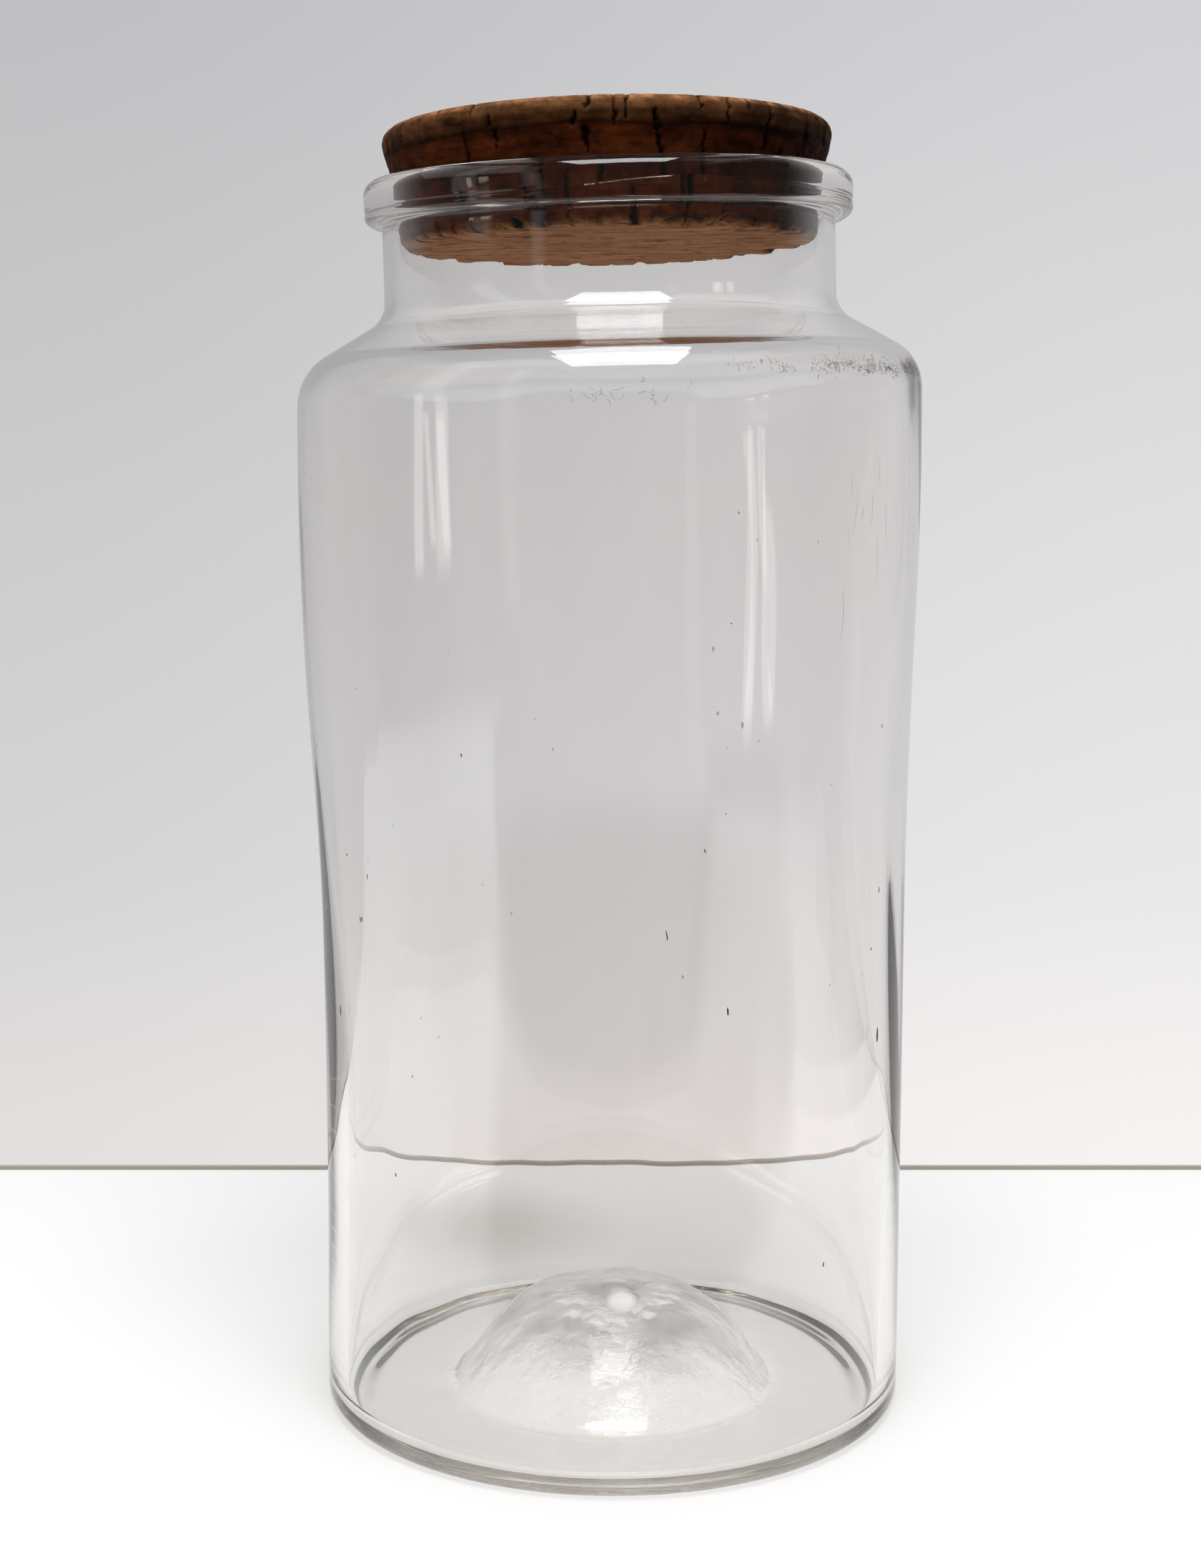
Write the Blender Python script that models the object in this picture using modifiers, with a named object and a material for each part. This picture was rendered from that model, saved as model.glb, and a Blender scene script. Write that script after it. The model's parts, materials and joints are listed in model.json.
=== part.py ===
"""Hand-blown glass specimen jar with a tapered natural-cork stopper.

Blender 4.5, metres, +Z up. The origin is the centre of the foot ring, on the surface the jar stands on.
The jar is blown in one piece of glass: kicked-up base with a pontil scar, tapering body, round shoulder,
short neck and a rolled lip. Shoulder and mouth lean a little to -X, and the stopper slides out along the
mouth's axis.
"""
import math

import bmesh
import bpy
from mathutils import Vector

MM = 0.001

# driving dimensions of the glass, outside
BODY_RADIUS_FOOT = 75.4 * MM
BODY_RADIUS_SHOULDER = 78.6 * MM
TAPER_START_Z = 122.0 * MM
TAPER_END_Z = 245.0 * MM
NECK_RADIUS = 56.8 * MM
LIP_RADIUS = 61.2 * MM
LIP_BOTTOM_Z = 303.0 * MM
LIP_TOP_Z = 313.2 * MM
HEEL_ROUND = 4.0 * MM
FOOT_RING_WIDTH = 4.2 * MM

# shoulder: a round corner, a straight slope and a hollow fillet into the neck
SHOULDER_SLOPE = math.radians(30.0)
SHOULDER_CORNER_Z = 267.6 * MM
SHOULDER_ROUND = 13.0 * MM
NECK_FILLET = 8.0 * MM

# glass thickness
WALL_FOOT = 4.8 * MM
WALL_SHOULDER = 2.8 * MM
WALL_EVEN_Z = 200.0 * MM
BORE_RADIUS = 54.2 * MM
LIP_LOWER_ROUND = 1.5 * MM
FLOOR_Z = 3.2 * MM
FLOOR_CORNER_ROUND = 4.6 * MM

# kick-up in the base
KICK_RADIUS = 42.0 * MM
KICK_TOP_Z = 26.0 * MM
KICK_UNDER_Z = 18.0 * MM
KICK_EDGE_Z = 0.8 * MM
KICK_CROWN = 4.0
KICK_SKIRT = 1.5
KICK_STEPS = 12
UNDER_STEPS = 14
PONTIL_RADIUS = 13.0 * MM
PONTIL_WIDTH = 3.0 * MM
PONTIL_DEPTH = 1.6 * MM

# the hand-made lean: the axis bows and sways a little, and the rings above the body tip to -X
MOUTH_LEAN = math.radians(1.3)
SHOULDER_EXTRA_LEAN = math.radians(0.45)
BODY_BOW = 0.45 * MM
SWAY = -1.1 * MM
SWAY_START_Z = 120.0 * MM
SWAY_END_Z = 205.0 * MM
LEAN_START_Z = 200.0 * MM
LEAN_END_Z = 255.0 * MM
MOUTH_PIVOT_Z = 300.0 * MM
MOUTH_START_Z = 284.0 * MM

# stopper, measured along the mouth's own axis
STOPPER_BOTTOM_Z = 297.5 * MM
STOPPER_TOP_Z = 326.5 * MM
STOPPER_FOOT_RADIUS = 52.2 * MM
STOPPER_LIP_RADIUS = 53.7 * MM
STOPPER_MAX_RADIUS = 56.1 * MM
STOPPER_WAIST_Z = 318.6 * MM
STOPPER_WAIST_INSET = 1.0 * MM
STOPPER_BITE_Z = 315.0 * MM
STOPPER_BITE = 0.3 * MM
STOPPER_LIP_Z = 312.5 * MM
STOPPER_FOOT_ROUND = 1.2 * MM
STOPPER_TOP_ROUND = 3.6 * MM

TAPER_STEPS = 6
TURN_STEPS = 48
MERGE = 0.00001


def ease(value, low, high):
    """0 below low, 1 above high, and a smooth step between them."""
    t = min(max((value - low) / (high - low), 0.0), 1.0)
    return t * t * (3.0 - 2.0 * t)


def arc(centre_r, centre_z, radius, start_deg, end_deg, steps):
    """Points (radius, height) on an arc, angles counted from +X in the profile's plane."""
    points = []
    for i in range(steps + 1):
        angle = math.radians(start_deg + (end_deg - start_deg) * i / steps)
        points.append((centre_r + radius * math.cos(angle), centre_z + radius * math.sin(angle)))
    return points


def body_radius(z):
    """Outer radius of the body, which narrows a little below the shoulder."""
    share = ease(z, TAPER_START_Z, TAPER_END_Z)
    return BODY_RADIUS_FOOT + (BODY_RADIUS_SHOULDER - BODY_RADIUS_FOOT) * share


def wall(z):
    """Glass thickness of the body at a height."""
    return WALL_FOOT + (WALL_SHOULDER - WALL_FOOT) * ease(z, 0.0, WALL_EVEN_Z)


def kick(radius, top, edge):
    """Height of the kick-up at a radius: a broad, nearly flat crown that runs out in a hollow skirt."""
    share = min(radius / KICK_RADIUS, 1.0)
    return edge + (top - edge) * (1.0 - share ** KICK_CROWN) ** KICK_SKIRT


def shoulder_arcs():
    """Centres of the shoulder's round corner and of the neck's hollow fillet, and the corner's height."""
    half_turn = math.tan(math.radians(90.0) / 2 - SHOULDER_SLOPE / 2)
    corner_start = SHOULDER_CORNER_Z - SHOULDER_ROUND * half_turn
    corner = (BODY_RADIUS_SHOULDER - SHOULDER_ROUND, corner_start)
    rise = (BODY_RADIUS_SHOULDER - NECK_RADIUS) * math.tan(SHOULDER_SLOPE)
    fillet = (NECK_RADIUS + NECK_FILLET, SHOULDER_CORNER_Z + rise + NECK_FILLET * half_turn)
    return corner, fillet


def jar_profile():
    """The glass section, from the kick-up's top, up the inside, over the lip and down the outside."""
    corner, fillet = shoulder_arcs()
    slope_deg = math.degrees(SHOULDER_SLOPE)
    floor_corner = (BODY_RADIUS_FOOT - WALL_FOOT - FLOOR_CORNER_ROUND, FLOOR_Z + FLOOR_CORNER_ROUND)
    taper = [TAPER_START_Z + (TAPER_END_Z - TAPER_START_Z) * i / TAPER_STEPS for i in range(TAPER_STEPS + 1)]
    rows = [TAPER_START_Z / 3, TAPER_START_Z * 2 / 3] + taper

    radii = [KICK_RADIUS * i / KICK_STEPS for i in range(KICK_STEPS + 1)]
    inside = [(radius, kick(radius, KICK_TOP_Z, FLOOR_Z)) for radius in radii]
    inside += arc(*floor_corner, FLOOR_CORNER_ROUND, -90, 0, 4)
    inside += [(body_radius(z) - wall(z), z) for z in rows]
    inside += arc(*corner, SHOULDER_ROUND - WALL_SHOULDER, 0, 90 - slope_deg, 4)
    inside += arc(*fillet, fillet[0] - BORE_RADIUS, 270 - slope_deg, 180, 4)

    lip_round = (LIP_RADIUS - BORE_RADIUS) / 2
    lip = arc(BORE_RADIUS + lip_round, LIP_TOP_Z - lip_round, lip_round, 180, 0, 8)
    lip += arc(LIP_RADIUS - LIP_LOWER_ROUND, LIP_BOTTOM_Z + LIP_LOWER_ROUND, LIP_LOWER_ROUND, 0, -90, 2)
    lip.append((NECK_RADIUS, LIP_BOTTOM_Z + 0.4 * MM))

    outside = arc(*fillet, NECK_FILLET, 180, 270 - slope_deg, 5)
    outside += arc(*corner, SHOULDER_ROUND, 90 - slope_deg, 0, 6)
    outside += [(body_radius(z), z) for z in reversed(rows)]
    heel_r = BODY_RADIUS_FOOT - HEEL_ROUND
    outside += arc(heel_r, HEEL_ROUND, HEEL_ROUND, 0, -90, 4)

    ring_inner = heel_r - FOOT_RING_WIDTH
    under = [(ring_inner, 0.0)]
    scar_edge = PONTIL_RADIUS + PONTIL_WIDTH
    for i in range(1, UNDER_STEPS + 1):
        radius = ring_inner + (scar_edge - ring_inner) * i / UNDER_STEPS
        under.append((radius, kick(radius, KICK_UNDER_Z, KICK_EDGE_Z)))
    scar_z = kick(PONTIL_RADIUS, KICK_UNDER_Z, 0.0)
    under.append((PONTIL_RADIUS, scar_z - PONTIL_DEPTH))
    under.append((PONTIL_RADIUS - PONTIL_WIDTH, scar_z - PONTIL_DEPTH / 2))
    under += [(PONTIL_RADIUS / 2, KICK_UNDER_Z - PONTIL_DEPTH / 2), (0.0, KICK_UNDER_Z)]
    return inside + lip + outside + under


def stopper_profile():
    """The cork's section, from the middle of its top, down its side to the middle of its underside."""
    top_r = STOPPER_MAX_RADIUS - STOPPER_TOP_ROUND
    points = [(0.0, STOPPER_TOP_Z), (top_r * 0.5, STOPPER_TOP_Z)]
    points += arc(top_r, STOPPER_TOP_Z - STOPPER_TOP_ROUND, STOPPER_TOP_ROUND, 90, 0, 5)
    points.append((STOPPER_MAX_RADIUS - STOPPER_WAIST_INSET, STOPPER_WAIST_Z))
    points.append((STOPPER_LIP_RADIUS + STOPPER_BITE, STOPPER_BITE_Z))
    points.append((STOPPER_LIP_RADIUS, STOPPER_LIP_Z))
    foot_r = STOPPER_FOOT_RADIUS - STOPPER_FOOT_ROUND
    points += arc(foot_r, STOPPER_BOTTOM_Z + STOPPER_FOOT_ROUND, STOPPER_FOOT_ROUND, 0, -90, 3)
    points += [(foot_r * 0.5, STOPPER_BOTTOM_Z), (0.0, STOPPER_BOTTOM_Z)]
    return points


def material(name, colour, roughness, transmission=0.0, ior=1.5):
    """A plain Principled material."""
    mat = bpy.data.materials.new(name)
    mat.use_nodes = True
    shader = mat.node_tree.nodes["Principled BSDF"]
    shader.inputs["Base Color"].default_value = (*colour, 1.0)
    shader.inputs["Roughness"].default_value = roughness
    shader.inputs["Metallic"].default_value = 0.0
    shader.inputs["Transmission Weight"].default_value = transmission
    shader.inputs["IOR"].default_value = ior
    mat.diffuse_color = (*colour, 1.0)
    return mat


def turned(name, profile, collection, mat):
    """A solid turned about Z from a profile, as an object with a Screw modifier."""
    mesh = bpy.data.meshes.new(name)
    edges = [(i, i + 1) for i in range(len(profile) - 1)]
    mesh.from_pydata([(r, 0.0, z) for r, z in profile], edges, [])
    obj = bpy.data.objects.new(name, mesh)
    collection.objects.link(obj)
    screw = obj.modifiers.new("turn", "SCREW")
    screw.axis = "Z"
    screw.steps = TURN_STEPS
    screw.render_steps = TURN_STEPS
    screw.use_merge_vertices = True
    screw.merge_threshold = MERGE
    screw.use_smooth_shade = True
    obj.data.materials.append(mat)
    return obj


def frozen(obj):
    """Replace an object's mesh with its evaluated mesh, without modifiers."""
    depsgraph = bpy.context.evaluated_depsgraph_get()
    mesh = bpy.data.meshes.new_from_object(obj.evaluated_get(depsgraph))
    mesh.name = obj.name
    obj.modifiers.clear()
    obj.data = mesh
    return obj


def axis_x(z):
    """How far the middle of the ring at a height lies from the Z axis."""
    bow = BODY_BOW * math.sin(math.pi * min(z / SWAY_END_Z, 1.0)) ** 2
    along_mouth = math.sin(MOUTH_LEAN) * (MOUTH_PIVOT_Z - z) * ease(z, LEAN_END_Z, MOUTH_START_Z)
    return bow + SWAY * ease(z, SWAY_START_Z, SWAY_END_Z) + along_mouth


def leant(point):
    """A point of the true turned shape, moved to where the hand-made shape has it."""
    x, y, z = point
    shoulder = ease(z, LEAN_START_Z, LEAN_END_Z) * (1.0 - ease(z, LEAN_END_Z, MOUTH_START_Z))
    tilt = MOUTH_LEAN * ease(z, LEAN_START_Z, LEAN_END_Z) + SHOULDER_EXTRA_LEAN * shoulder
    return Vector((axis_x(z) + x * math.cos(tilt), y, z + x * math.sin(tilt)))


def make_jar(collection):
    """The one-piece glass jar, turned and then leant."""
    glass = material("clear_glass", (0.93, 0.95, 0.94), 0.03, transmission=1.0, ior=1.5)
    jar = frozen(turned("glass_jar", jar_profile(), collection, glass))
    shape = bmesh.new()
    shape.from_mesh(jar.data)
    for vert in shape.verts:
        vert.co = leant(vert.co)
    shape.to_mesh(jar.data)
    shape.free()
    jar.data.set_sharp_from_angle(angle=math.radians(50))
    return jar


def make_stopper(collection, mouth):
    """The cork, with its origin on the mouth's axis, carried by the mouth's empty."""
    cork = material("natural_cork", (0.22, 0.12, 0.06), 0.85)
    profile = [(r, z - MOUTH_PIVOT_Z) for r, z in stopper_profile()]
    stopper = turned("cork_stopper", profile, collection, cork)
    stopper.parent = mouth
    return stopper


def main():
    for obj in list(bpy.data.objects):
        bpy.data.objects.remove(obj, do_unlink=True)
    collection = bpy.data.collections.new("specimen_jar")
    bpy.context.scene.collection.children.link(collection)

    mouth = bpy.data.objects.new("mouth_axis", None)
    mouth.empty_display_size = 20 * MM
    collection.objects.link(mouth)
    mouth.location = (axis_x(MOUTH_PIVOT_Z), 0.0, MOUTH_PIVOT_Z)
    mouth.rotation_euler = (0.0, -MOUTH_LEAN, 0.0)

    make_jar(collection)
    make_stopper(collection, mouth)
    bpy.context.view_layer.update()


main()
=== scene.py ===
"""Looks of the specimen jar: blown glass with a rolled lip and a rough kick-up, and a worn cork stopper."""

import json
import math

import bpy
import numpy as np
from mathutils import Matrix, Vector, noise
from mathutils.bvhtree import BVHTree


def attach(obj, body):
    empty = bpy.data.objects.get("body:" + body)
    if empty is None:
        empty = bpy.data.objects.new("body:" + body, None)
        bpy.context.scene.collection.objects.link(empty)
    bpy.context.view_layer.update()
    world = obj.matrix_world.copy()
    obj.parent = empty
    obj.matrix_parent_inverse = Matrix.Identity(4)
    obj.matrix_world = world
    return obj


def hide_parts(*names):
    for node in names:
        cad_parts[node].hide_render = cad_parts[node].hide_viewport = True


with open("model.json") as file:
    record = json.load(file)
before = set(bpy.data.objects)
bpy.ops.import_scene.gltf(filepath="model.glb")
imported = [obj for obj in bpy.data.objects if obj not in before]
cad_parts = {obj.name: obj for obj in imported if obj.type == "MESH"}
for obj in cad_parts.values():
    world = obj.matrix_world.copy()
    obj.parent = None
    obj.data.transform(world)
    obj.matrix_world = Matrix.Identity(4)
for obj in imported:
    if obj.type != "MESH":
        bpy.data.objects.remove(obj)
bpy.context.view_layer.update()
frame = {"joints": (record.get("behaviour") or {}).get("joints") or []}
MM = 0.001

# ---------------------------------------------------------------- sizes of the glass, as in the CAD part
BODY_RADIUS_FOOT = 75.4 * MM
BODY_RADIUS_SHOULDER = 78.6 * MM
TAPER_START_Z = 122.0 * MM
TAPER_END_Z = 245.0 * MM
NECK_RADIUS = 56.8 * MM
LIP_RADIUS = 61.2 * MM
LIP_BOTTOM_Z = 303.0 * MM
LIP_TOP_Z = 313.2 * MM
LIP_BOTTOM_ROUND = 1.5 * MM
HEEL_ROUND = 4.0 * MM
FOOT_RING_WIDTH = 4.2 * MM
SHOULDER_SLOPE = math.radians(30.0)
SHOULDER_CORNER_Z = 267.6 * MM
SHOULDER_ROUND = 13.0 * MM
NECK_FILLET = 8.0 * MM
WALL_FOOT = 4.8 * MM
WALL_SHOULDER = 2.8 * MM
WALL_EVEN_Z = 200.0 * MM
BORE_RADIUS = 54.2 * MM
FLOOR_Z = 3.2 * MM
FLOOR_CORNER_ROUND = 4.6 * MM
KICK_RADIUS = 42.0 * MM
KICK_TOP_Z = 26.0 * MM
KICK_UNDER_Z = 18.0 * MM
KICK_EDGE_Z = 0.8 * MM
KICK_CROWN = 4.0
KICK_SKIRT = 1.5
PONTIL_RADIUS = 13.0 * MM
RING_RUN_OUT = 6.0 * MM
SHOULDER_EXTRA_LEAN = math.radians(0.45)
BODY_BOW = 0.45 * MM
SWAY = -1.1 * MM
SWAY_START_Z = 120.0 * MM
SWAY_END_Z = 205.0 * MM
LEAN_START_Z = 200.0 * MM
LEAN_END_Z = 255.0 * MM
MOUTH_PIVOT_Z = 300.0 * MM
MOUTH_START_Z = 284.0 * MM

# ---------------------------------------------------------------- the hand-made unevenness of the glass
SHAPE_WAVE = 0.22 * MM
OUTER_CORDS = 0.045 * MM
INNER_WAVE = 0.16 * MM
INNER_CORDS = 0.05 * MM
LIP_WAVE = 0.85 * MM
LIP_WAVE_TURN = math.radians(100)
FOLD_DEPTH = 0.27 * MM
FOLD_HALF_HEIGHT = 0.42 * MM
LIP_UNEVEN = 0.18 * MM
ROUGH_BASE_RADIUS = 62.0 * MM
CROWN_NIPPLE = (1.1 * MM, 4.2 * MM)  # how tall and how wide
CROWN_BUBBLE_AT = (2.6 * MM, -4.0 * MM, 21.6 * MM)
CROWN_BUBBLE_RADII = (4.8 * MM, 4.4 * MM, 1.9 * MM)
SEED_BUBBLES = 26

# ---------------------------------------------------------------- how finely the glass is divided
JAR_SEGMENTS = 208
KICK_ROWS = 52
FLOOR_ROWS = 12
INNER_WALL_ROWS = 62
OUTER_WALL_ROWS = 64
UNDER_ROWS = 56
PONTIL_ROWS = 46
FINE_UNDER_RADIUS = 18.0 * MM
INSIDE, LIP, OUTSIDE, UNDERNEATH = range(4)

# ---------------------------------------------------------------- the stopper, along the mouth's own axis
STOPPER_BOTTOM_Z = 297.5 * MM
STOPPER_TOP_Z = 326.5 * MM
STOPPER_FOOT_RADIUS = 52.2 * MM
STOPPER_LIP_RADIUS = 53.7 * MM
STOPPER_MAX_RADIUS = 56.1 * MM
STOPPER_TOP_ROUND = 3.6 * MM
STOPPER_FOOT_BEVEL = 1.0 * MM
STOPPER_FLARE_Z = 318.6 * MM
STOPPER_WAIST_Z = 315.0 * MM
CORK_VOXEL = 0.55 * MM
LENTICELS = 128
TOP_PORES = 150
FOOT_PORES = 130

LIFT = Vector(next(j["axis"] for j in frame["joints"] if j["name"] == "stopper_lift"))
MOUTH_LEAN = math.atan2(-LIFT.x, LIFT.z)


# ---------------------------------------------------------------- helpers
def ease(value, low, high):
    """0 below low, 1 above high, and a smooth step between them; numbers or arrays."""
    t = np.clip((value - low) / (high - low), 0.0, 1.0)
    return t * t * (3.0 - 2.0 * t)


def arc(centre_r, centre_z, radius, start_deg, end_deg, steps):
    """Points (radius, height) on an arc of a turned section."""
    angles = np.radians(np.linspace(start_deg, end_deg, steps + 1))
    return [(centre_r + radius * math.cos(a), centre_z + radius * math.sin(a)) for a in angles]


def ripple(angle, height, rng, count, lobes, wavelength):
    """A smooth random wave round the jar, mostly between -1 and 1: sines with whole numbers of lobes."""
    total = np.zeros_like(angle)
    for _ in range(count):
        lobe = rng.integers(lobes[0], lobes[1] + 1)
        length = rng.uniform(*wavelength)
        total += np.sin(lobe * angle + 2 * math.pi * height / length + rng.uniform(0, 2 * math.pi))
    return total / math.sqrt(count)


def leant(x, y, z):
    """Points of the true turned shape, moved to where the hand-made shape has them; numbers or arrays."""
    bow = BODY_BOW * np.sin(math.pi * np.minimum(z / SWAY_END_Z, 1.0)) ** 2
    along_mouth = math.sin(MOUTH_LEAN) * (MOUTH_PIVOT_Z - z) * ease(z, LEAN_END_Z, MOUTH_START_Z)
    middle = bow + SWAY * ease(z, SWAY_START_Z, SWAY_END_Z) + along_mouth
    shoulder = ease(z, LEAN_START_Z, LEAN_END_Z) * (1.0 - ease(z, LEAN_END_Z, MOUTH_START_Z))
    tilt = MOUTH_LEAN * ease(z, LEAN_START_Z, LEAN_END_Z) + SHOULDER_EXTRA_LEAN * shoulder
    return middle + x * np.cos(tilt), y, z + x * np.sin(tilt)


def add_object(name, verts, faces, smooth=True):
    """A mesh object from points and faces, in the row frame."""
    mesh = bpy.data.meshes.new(name)
    mesh.from_pydata([tuple(v) for v in verts], [], faces)
    mesh.validate()
    obj = bpy.data.objects.new(name, mesh)
    bpy.context.scene.collection.objects.link(obj)
    if smooth:
        mesh.shade_smooth()
    return obj


# ---------------------------------------------------------------- glass shape
def body_radius(z):
    """The outer radius of the body, which widens a little from its foot to its shoulder."""
    share = ease(z, TAPER_START_Z, TAPER_END_Z)
    return BODY_RADIUS_FOOT + (BODY_RADIUS_SHOULDER - BODY_RADIUS_FOOT) * share


def wall(z):
    """The thickness of the body's wall."""
    return WALL_FOOT + (WALL_SHOULDER - WALL_FOOT) * ease(z, 0.0, WALL_EVEN_Z)


def kick(radius, top, edge):
    """Height of the kick-up: top in its middle, edge where it runs out."""
    share = min(radius / KICK_RADIUS, 1.0)
    return edge + (top - edge) * (1.0 - share ** KICK_CROWN) ** KICK_SKIRT


def jar_section():
    """The glass section as (radius, height, side): up the inside, over the lip, down and back under."""
    half_turn = math.tan(math.radians(45.0) - SHOULDER_SLOPE / 2)
    corner = (BODY_RADIUS_SHOULDER - SHOULDER_ROUND, SHOULDER_CORNER_Z - SHOULDER_ROUND * half_turn)
    rise = (BODY_RADIUS_SHOULDER - NECK_RADIUS) * math.tan(SHOULDER_SLOPE)
    fillet = (NECK_RADIUS + NECK_FILLET, SHOULDER_CORNER_Z + rise + NECK_FILLET * half_turn)
    slope = math.degrees(SHOULDER_SLOPE)
    points = []

    def put(side, new):
        points.extend((r, z, side) for r, z in new)

    rows = [KICK_RADIUS * i / KICK_ROWS for i in range(KICK_ROWS + 1)]
    put(INSIDE, [(radius, kick(radius, KICK_TOP_Z, FLOOR_Z)) for radius in rows])
    flat_end = BODY_RADIUS_FOOT - WALL_FOOT - FLOOR_CORNER_ROUND
    flat = flat_end - KICK_RADIUS
    put(INSIDE, [(KICK_RADIUS + flat * i / FLOOR_ROWS, FLOOR_Z) for i in range(1, FLOOR_ROWS)])
    body_low, body_high = FLOOR_Z + FLOOR_CORNER_ROUND, corner[1]
    put(INSIDE, arc(flat_end, body_low, FLOOR_CORNER_ROUND, -90, 0, 10))
    rows = np.linspace(body_low, body_high, INNER_WALL_ROWS)[1:-1]
    put(INSIDE, [(body_radius(z) - wall(z), z) for z in rows])
    put(INSIDE, arc(*corner, SHOULDER_ROUND - WALL_SHOULDER, 0, 90 - slope, 12))
    put(INSIDE, arc(*fillet, fillet[0] - BORE_RADIUS, 270 - slope, 180, 12))

    lip_round = (LIP_RADIUS - BORE_RADIUS) / 2
    lip_high, lip_low = LIP_TOP_Z - lip_round, LIP_BOTTOM_Z + LIP_BOTTOM_ROUND
    put(INSIDE, [(BORE_RADIUS, z) for z in np.linspace(fillet[1], lip_high, 12)[1:-1]])
    put(LIP, arc(BORE_RADIUS + lip_round, lip_high, lip_round, 180, 0, 22))
    put(LIP, [(LIP_RADIUS, z) for z in np.linspace(lip_high, lip_low, 28)[1:-1]])
    put(LIP, arc(LIP_RADIUS - LIP_BOTTOM_ROUND, lip_low, LIP_BOTTOM_ROUND, 0, -90, 6))
    put(LIP, [(NECK_RADIUS + 1.2 * MM, LIP_BOTTOM_Z + 0.1 * MM),
              (NECK_RADIUS + 0.3 * MM, LIP_BOTTOM_Z - 0.3 * MM)])

    rows = np.linspace(LIP_BOTTOM_Z - 1.2 * MM, fillet[1], 10)[:-1]
    put(OUTSIDE, [(NECK_RADIUS, z) for z in rows])
    put(OUTSIDE, arc(*fillet, NECK_FILLET, 180, 270 - slope, 14))
    put(OUTSIDE, arc(*corner, SHOULDER_ROUND, 90 - slope, 0, 16))
    rows = np.linspace(body_high, HEEL_ROUND, OUTER_WALL_ROWS)[1:-1]
    put(OUTSIDE, [(body_radius(z), z) for z in rows])
    heel_radius = BODY_RADIUS_FOOT - HEEL_ROUND
    put(OUTSIDE, arc(heel_radius, HEEL_ROUND, HEEL_ROUND, 0, -90, 12))

    ring_inner = heel_radius - FOOT_RING_WIDTH
    put(UNDERNEATH, [(ring_inner + FOOT_RING_WIDTH * 0.5, 0.0), (ring_inner, 0.0)])
    rows = np.concatenate([np.linspace(ring_inner, FINE_UNDER_RADIUS, UNDER_ROWS)[1:],
                           np.linspace(FINE_UNDER_RADIUS, 0.0, PONTIL_ROWS)[1:]])
    for radius in rows:
        run_out = float(ease(ring_inner - radius, 0, RING_RUN_OUT))
        put(UNDERNEATH, [(radius, kick(radius, KICK_UNDER_Z, KICK_EDGE_Z) * run_out)])
    return np.array(points)


def lip_wave(angle):
    """Height of the hand-worked lip above a true ring, twice high and twice low round the jar."""
    return -LIP_WAVE * np.cos(2 * (angle + LIP_WAVE_TURN))


def lip_fold(angle):
    """Height of the line round the lip where its rolled edge was closed, highest at the front."""
    climb = 2.3 + 1.0 * ease(angle, 4.0, 5.2) + 1.9 * np.exp(-((angle - 4.97) / 0.38) ** 2)
    return LIP_BOTTOM_Z + climb * MM + lip_wave(angle)


def pontil_break(x, y):
    """Depth of the broken glass left where the iron was cracked off, under the kick-up."""
    radius = math.hypot(x, y)
    turn = math.atan2(y, x)
    edge = PONTIL_RADIUS * (1 + 0.10 * math.sin(3 * turn + 0.6))
    ring = math.exp(-((radius - edge) / (3.2 * MM)) ** 2)
    point = Vector((x, y, 0.0))
    chips = 0.5 + 0.9 * noise.noise(point * 210) + 0.5 * noise.noise(point * 470)
    front = 0.55 + 0.45 * math.cos(turn + math.radians(80))
    return ring * front * 1.1 * MM * max(chips, -0.2)


def rough_base(x, y, z, side):
    """Height of a point of the base, with its lumps, its ruffled skin, its crown and the pontil's break."""
    under = side == UNDERNEATH
    radius = math.hypot(x, y)
    fade = float(1 - ease(radius, 34 * MM, 60 * MM))
    lump = noise.fractal(Vector((x, y, 0.01 * side)) * 34, 1.0, 2.0, 2)
    z += fade * lump * (0.8 * MM if under else 0.45 * MM)
    ruffled = float(ease(radius, 10 * MM, 24 * MM) * (1 - ease(radius, 34 * MM, 44 * MM)))
    skin = noise.fractal(Vector((x * 0.6, y * 1.2, 0.3 + 0.02 * side)) * 120, 0.8, 2.2, 3)
    z += ruffled * skin * (0.16 * MM if under else 0.42 * MM)
    if under:
        return z - pontil_break(x, y)
    tall, wide = CROWN_NIPPLE
    return z + tall * math.exp(-((radius / wide) ** 2))


def add_bubble(verts, faces, place, radii, rows=14, turns=26):
    """An air bubble closed in the glass: an ellipsoid whose faces look inward, to its own air."""
    start = len(verts)
    for i in range(1, rows):
        tip = math.pi * i / rows
        for k in range(turns):
            turn = 2 * math.pi * k / turns
            unit = (math.sin(tip) * math.cos(turn), math.sin(tip) * math.sin(turn), math.cos(tip))
            verts.append(tuple(c + r * u for c, r, u in zip(place, radii, unit)))
    top, bottom = len(verts), len(verts) + 1
    verts.append((place[0], place[1], place[2] + radii[2]))
    verts.append((place[0], place[1], place[2] - radii[2]))
    for k in range(turns):
        n = (k + 1) % turns
        faces.append((top, start + n, start + k))
        faces.append((bottom, start + (rows - 2) * turns + k, start + (rows - 2) * turns + n))
        for i in range(rows - 2):
            a, b = start + i * turns, start + (i + 1) * turns
            faces.append((a + k, a + n, b + n, b + k))


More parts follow.
